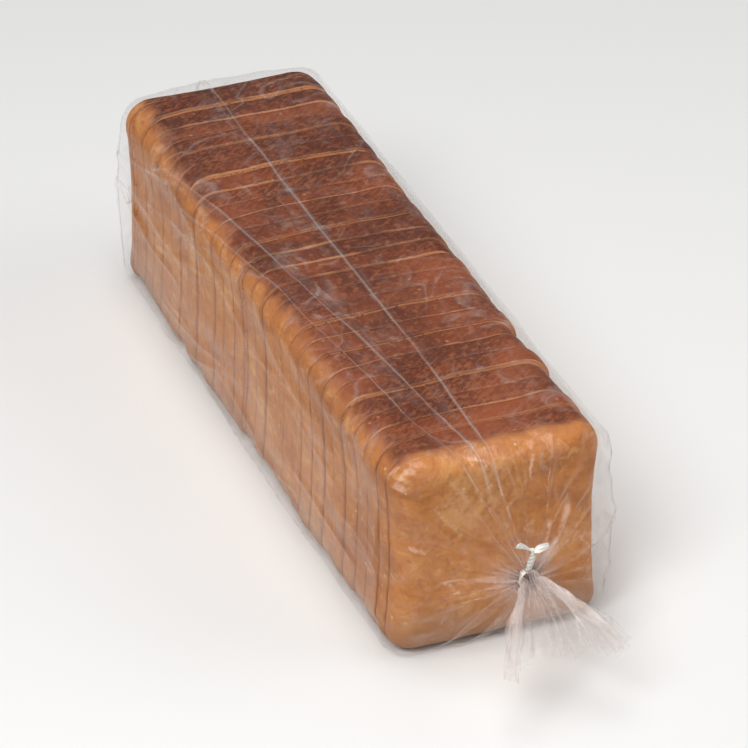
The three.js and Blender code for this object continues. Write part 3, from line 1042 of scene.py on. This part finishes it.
# Long creases in the film's flat top, each a run of (x, place along the bread, width of the part after it).
CREASES = (
    ((-7, 404, 0.9), (-7, 262, 1.0), (-4, 97, 1.0), (-6, -16, 0.0)),
    ((-60, 338, 0.8), (-26, 120, 1.0), (-10, -16, 0.0)),
    ((-60, 283, 0.6), (-30, 36, 0.6), (-17, -16, 0.0)),
)


def long_creases(graph, place):
    """Thin bright lines along the flat top, slightly bent: the haze of the doubled film, with a painted
    highlight along each.
    """
    cloud = graph.add("ShaderNodeTexNoise", {"Vector": place, "Scale": 28.0, "Detail": 3.0})
    offset = graph.vector("SUBTRACT", cloud.outputs["Color"], (0.5, 0.5, 0.5))
    bent = graph.vector("ADD", place, graph.vector("SCALE", offset, scale=2.5 * MM))
    marks = 0.0
    for run in CREASES:
        ends = [(x * MM, (LOAF_START + y) * MM, 0.0) for x, y, _ in run]
        for start, end, (_, _, width) in zip(ends, ends[1:], run):
            mark = use_group(graph, "film_crease", Place=bent, From=start, To=end, Width=width * MM)
            marks = graph.math("MAXIMUM", marks, mark)
    height = graph.add("ShaderNodeSeparateXYZ", {0: place}).outputs[2]
    return graph.times(marks, graph.span(height, (FILM_TOP - 34.0) * MM, (FILM_TOP - 4.0) * MM))


def film_material(film):
    """Clear polythene: see-through, glossy at a slant, with a faint haze, painted glare, and brighter
    creases.
    """
    material, graph, shader = new_material("clear_film")
    place, covered, bunched = graph.place(), graph.value("covered"), graph.value("bunched")
    creased = long_creases(graph, place)
    streaks = graph.noise(graph.mapped(place, (1.0, 0.18, 1.0)), 120.0, 4.0, 0.55, 0.3)
    swirl = graph.noise(place, 48.0, 4.0, 0.6, 1.6)
    cloud = use_group(graph, "mottle", Place=place, Scale=22.0, Contrast=2.4)
    # Painted glare: thin curved wisps of haze, where soft wrinkles catch the light.
    bends = graph.math("ABSOLUTE", graph.less(graph.noise(place, 24.0, 1.5, 0.5, 0.8), 0.5))
    wisps = graph.times(graph.span(bends, 0.0, 0.03, 1.0, 0.0), graph.span(cloud, 0.35, 0.8))
    # The haze, with painted glare in the swirl patches and the wisps, and a painted highlight along the
    # creases.
    haze = graph.total(
        (graph.span(streaks, 0.5, 0.75), 0.045),
        (wisps, 0.12),
        (graph.span(swirl, 0.56, 0.74), 0.12),
        (cloud, film.haze),
        (creased, 0.13),
        (bunched, 0.16),
        (graph.math("POWER", bunched, 6.0), 0.45),
    )
    haze = graph.times(haze, graph.span(covered, 0.0, 1.0, 1.0, 0.5, smooth=False), clamp=True)
    relief = graph.total((streaks, 0.7), (swirl, 0.6), (creased, 0.8))
    bump = graph.bump(relief, 0.6, 0.8)

    behind = graph.add("ShaderNodeNewGeometry").outputs["Backfacing"]
    index = graph.span(behind, 0.0, 1.0, FILM_INDEX, 1 / FILM_INDEX, smooth=False)
    slant = graph.add("ShaderNodeFresnel", {"IOR": index, "Normal": bump})
    clinging = graph.span(covered, 0.0, 1.0, FILM_SHINE, 0.2, smooth=False)
    shine = graph.times(slant, clinging, clamp=True)
    # What the film does not let through is part mirror and part haze: the mirror's share is the gloss.
    solid = graph.total((haze, graph.less(1.0, shine)), base=shine, clamp=True)
    gloss = graph.math("DIVIDE", shine, solid, clamp=True)
    colour = graph.mix(gloss, film.tint, FILM_MIRROR)
    graph.fill(shader, {"Base Color": colour, "Normal": bump, "Roughness": film.roughness})
    graph.fill(shader, {"Metallic": gloss, "Alpha": solid})
    return material


# ---------------------------------------------------------------- twist tie

TIE_WORN = (0.62, 0.6, 0.55, 1.0)
TIE_STANDOFF, TIE_REACH, TIE_SPREAD = 1.35, 12.0, 0.75
TIE_AXIS, TIE_ACROSS = (0.16, -0.2, 1.0), (1.0, 0.0, -0.16)
# The strip's cross-section, as (share of half its width, height): flat, with a wire in the middle.
STRIP_PROFILE = (
    (-1.0, 0.12), (-0.34, 0.16), (-0.2, 0.4), (0.0, 0.5), (0.2, 0.4), (0.34, 0.16), (1.0, 0.12),
    (1.0, -0.12), (0.34, -0.16), (0.2, -0.4), (0.0, -0.5), (-0.2, -0.4), (-0.34, -0.16), (-1.0, -0.12),
)


def tie_path(tie):
    """Points along the tie with the direction of its width at each, in millimetres."""
    centre = np.array([0.0, NECK_Y, NECK_Z])
    radius = NECK_RADIUS + TIE_STANDOFF
    axis = TIE_AXIS / np.linalg.norm(TIE_AXIS)
    across = TIE_ACROSS / np.linalg.norm(TIE_ACROSS)
    depth = np.cross(axis, across)
    foot = centre + [0.0, 0.0, radius + 0.6]

    def strand(sign, share):
        """A place on one of the two twisted ends, its width and the way that it faces out."""
        turn = tie.turns * 2 * math.pi * share
        out = sign * (math.cos(turn) * across + math.sin(turn) * depth)
        width = -math.sin(turn) * across + math.cos(turn) * depth
        return foot + axis * TIE_REACH * share + TIE_SPREAD * out, width, out

    def tip(sign):
        last, width, out = strand(sign, 1.0)
        length = 7.5 + 1.5 * sign
        for share in np.linspace(0.0, 1.0, 9)[1:]:
            rise = axis * length * 0.55 * share ** (1.0 + 0.2 * sign)
            turned = width * (1 - share) + sign * (axis - 0.5 * out) * share
            yield last + rise + out * length * share**1.3, turned

    path = list(tip(1))[::-1]
    path += [strand(1, share)[:2] for share in np.linspace(1.0, 0.0, 40)]
    for turn in np.linspace(80, -260, 44):
        angle = math.radians(turn)
        lift = 0.6 if abs(turn + 90) > 130 else 0.0
        place = centre + (radius + lift) * np.array([math.cos(angle), 0.0, math.sin(angle)])
        path.append((place, np.array([0.0, 1.0, 0.0])))
    path += [strand(-1, share)[:2] for share in np.linspace(0.0, 1.0, 40)]
    return path + list(tip(-1))


def build_tie(tie):
    """A flat plastic strip with a wire down its middle, wound round the neck and twisted on itself."""
    places, widths = map(np.array, zip(*tie_path(tie)))
    for line in (places, widths) * 3:
        line[1:-1] = (line[:-2] + 2 * line[1:-1] + line[2:]) / 4
    runs = np.gradient(places, axis=0)
    runs /= np.linalg.norm(runs, axis=1, keepdims=True)
    widths -= runs * (widths * runs).sum(1, keepdims=True)
    widths /= np.linalg.norm(widths, axis=1, keepdims=True)
    thick = np.cross(runs, widths)
    half = tie.width / MM / 2
    points = [
        place + width * w * half + up * t
        for place, width, up in zip(places, widths, thick)
        for w, t in STRIP_PROFILE
    ]
    count = len(STRIP_PROFILE)
    faces = ring_faces(len(places), count)
    faces.append(tuple(range(count)))
    faces.append(tuple(reversed(range(len(points) - count, len(points)))))
    return make_object("strip_twist_tie", points, faces, math.radians(40))


def tie_material(tie):
    """Plain plastic skin over a wire."""
    material, graph, shader = new_material("tie_strip")
    wear = use_group(graph, "mottle", Place=graph.place(), Scale=500.0, Contrast=1.4)
    colour = graph.mix(graph.times(wear, 0.4), tie.colour, TIE_WORN)
    rough = graph.span(wear, 0.0, 1.0, 0.32, 0.5)
    graph.fill(shader, {"Base Color": colour, "Roughness": rough, "Normal": graph.bump(wear, 0.3, 0.15)})
    return material


# ---------------------------------------------------------------- stage

# Soft lights, as (name, place, size, power), in metres and watts.
SOFTBOXES = (
    ("key_softbox", (-1.1, -0.9, 1.7), (1.0, 1.0), 29.0),
    ("right_fill", (1.6, -0.6, 1.1), (1.4, 1.4), 12.0),
    ("top_softbox", (-0.2, 0.05, 2.2), (1.3, 1.1), 23.0),
)
FLOOR_REACH, ROOM_LIGHT, SENSOR_WIDTH = 6.0, 0.14, 36.0
FILM_LAYERS_SEEN = 48


def add_to_scene(name, data, place, facing):
    """A lamp or a camera at a place, looking back along the facing direction."""
    made = bpy.data.objects.new(name, data)
    made.location = place
    made.rotation_mode = "QUATERNION"
    made.rotation_quaternion = facing.to_track_quat("Z", "Y")
    bpy.context.scene.collection.objects.link(made)
    return made


def add_softbox(name, place, aim, size, power):
    lamp = bpy.data.lights.new(name, "AREA")
    lamp.shape = "RECTANGLE"
    lamp.size, lamp.size_y = size
    lamp.energy = power
    add_to_scene(name, lamp, place, Vector(place) - aim)


def floor_material(colour):
    material, graph, shader = new_material("pale_floor")
    graph.fill(shader, {"Base Color": colour, "Roughness": 0.85})
    return material


# ---------------------------------------------------------------- operators


def build_bread(loaf, numbers):
    """The slices with the given numbers, of crust and crumb that all of them share."""
    crust = bpy.data.materials.get("baked_crust") or crust_material(loaf)
    crumb = bpy.data.materials.get("cut_crumb") or crumb_material(loaf)
    plan = SlicePlan(loaf)
    for number in numbers:
        build_slice(number, plan, loaf, (crust, crumb))


class BREAD_OT_slices(bpy.types.Operator):
    """Make the inner slices of the loaf"""

    bl_idname = "tin_loaf.slices"
    bl_label = "Inner slices"

    def execute(self, context):
        build_bread(context.scene.tin_loaf, range(1, SLICE_COUNT - 1))
        return {"FINISHED"}


class BREAD_OT_heels(bpy.types.Operator):
    """Make the two end crusts of the loaf"""

    bl_idname = "tin_loaf.heels"
    bl_label = "Heels"

    def execute(self, context):
        build_bread(context.scene.tin_loaf, (0, SLICE_COUNT - 1))
        return {"FINISHED"}


class BREAD_OT_film_bag(bpy.types.Operator):
    """Make the clear film bag round the loaf"""

    bl_idname = "tin_loaf.film_bag"
    bl_label = "Film bag"

    def execute(self, context):
        film = context.scene.tin_loaf_film
        rows, bunched, covered = build_film_rows(film)
        faces = [face[::-1] for face in ring_faces(*rows.shape[:2])]
        piece = make_object("film_bag_skin", rows.reshape(-1, 3), faces)
        add_values(piece.data, "bunched", bunched)
        add_values(piece.data, "covered", covered)
        piece.data.materials.append(film_material(film))
        place_in_frame(piece, "film_bag")
        return {"FINISHED"}


class BREAD_OT_twist_tie(bpy.types.Operator):
    """Make the twist tie round the bag's neck"""

    bl_idname = "tin_loaf.twist_tie"
    bl_label = "Twist tie"

    def execute(self, context):
        tie = context.scene.tin_loaf_tie
        piece = build_tie(tie)
        piece.data.materials.append(tie_material(tie))
        place_in_frame(piece, "twist_tie")
        return {"FINISHED"}


class BREAD_OT_stage(bpy.types.Operator):
    """Make the pale floor, the soft lights and the camera"""

    bl_idname = "tin_loaf.stage"
    bl_label = "Stage"

    def execute(self, context):
        scene, stage = context.scene, context.scene.tin_loaf_stage
        far = FLOOR_REACH / MM
        corners = [(-far, -far, 0.0), (far, -far, 0.0), (far, far, 0.0), (-far, far, 0.0)]
        ground = make_object("floor", corners, [(0, 1, 2, 3)])
        ground.data.materials.append(floor_material(stage.floor))

        centre = (Vector(CAD_BOX[0]) + Vector(CAD_BOX[1])) / 2
        for name, place, size, power in SOFTBOXES:
            add_softbox(name, place, centre, size, power)
        scene.world = bpy.data.worlds.new("soft_room")
        scene.world.use_nodes = True
        room = scene.world.node_tree.nodes["Background"].inputs
        room["Color"].default_value = (1.0, 1.0, 1.0, 1.0)
        room["Strength"].default_value = ROOM_LIGHT
        scene.view_settings.view_transform = "Standard"
        scene.cycles.transparent_max_bounces = FILM_LAYERS_SEEN

        lens = bpy.data.cameras.new("loaf_camera")
        lens.lens, lens.sensor_width = stage.lens, SENSOR_WIDTH
        azimuth, elevation = stage.azimuth, stage.elevation
        level, rise = math.cos(elevation), math.sin(elevation)
        back = Vector((math.sin(azimuth) * level, -math.cos(azimuth) * level, rise))
        scene.camera = add_to_scene("loaf_camera", lens, centre + back * stage.distance, back)
        return {"FINISHED"}


class BREAD_PT_panel(bpy.types.Panel):
    bl_idname = "BREAD_PT_panel"
    bl_label = "Tin Loaf"
    bl_space_type = "VIEW_3D"
    bl_region_type = "UI"
    bl_category = "Tin Loaf"

    def draw(self, context):
        for label, name, group, operators in PARTS:
            part = self.layout.box()
            part.label(text=label)
            for setting in group.__annotations__:
                part.prop(getattr(context.scene, name), setting)
            for operator in operators:
                part.operator(operator.bl_idname)


# Each part of the panel: its heading, the name and kind of its settings, and its operators.
PARTS = (
    ("Bread", "tin_loaf", LoafSettings, (BREAD_OT_slices, BREAD_OT_heels)),
    ("Film bag", "tin_loaf_film", FilmSettings, (BREAD_OT_film_bag,)),
    ("Twist tie", "tin_loaf_tie", TieSettings, (BREAD_OT_twist_tie,)),
    ("Stage", "tin_loaf_stage", StageSettings, (BREAD_OT_stage,)),
)


def register():
    for _, name, group, operators in PARTS:
        bpy.utils.register_class(group)
        setattr(bpy.types.Scene, name, PointerProperty(type=group))
        for operator in operators:
            bpy.utils.register_class(operator)
    bpy.utils.register_class(BREAD_PT_panel)


def unregister():
    bpy.utils.unregister_class(BREAD_PT_panel)
    for _, name, group, operators in reversed(PARTS):
        for operator in reversed(operators):
            bpy.utils.unregister_class(operator)
        delattr(bpy.types.Scene, name)
        bpy.utils.unregister_class(group)


def main():
    register()
    bpy.ops.tin_loaf.stage()
    bpy.ops.tin_loaf.slices()
    bpy.ops.tin_loaf.heels()
    bpy.ops.tin_loaf.film_bag()
    bpy.ops.tin_loaf.twist_tie()


if __name__ == "__main__":
    main()
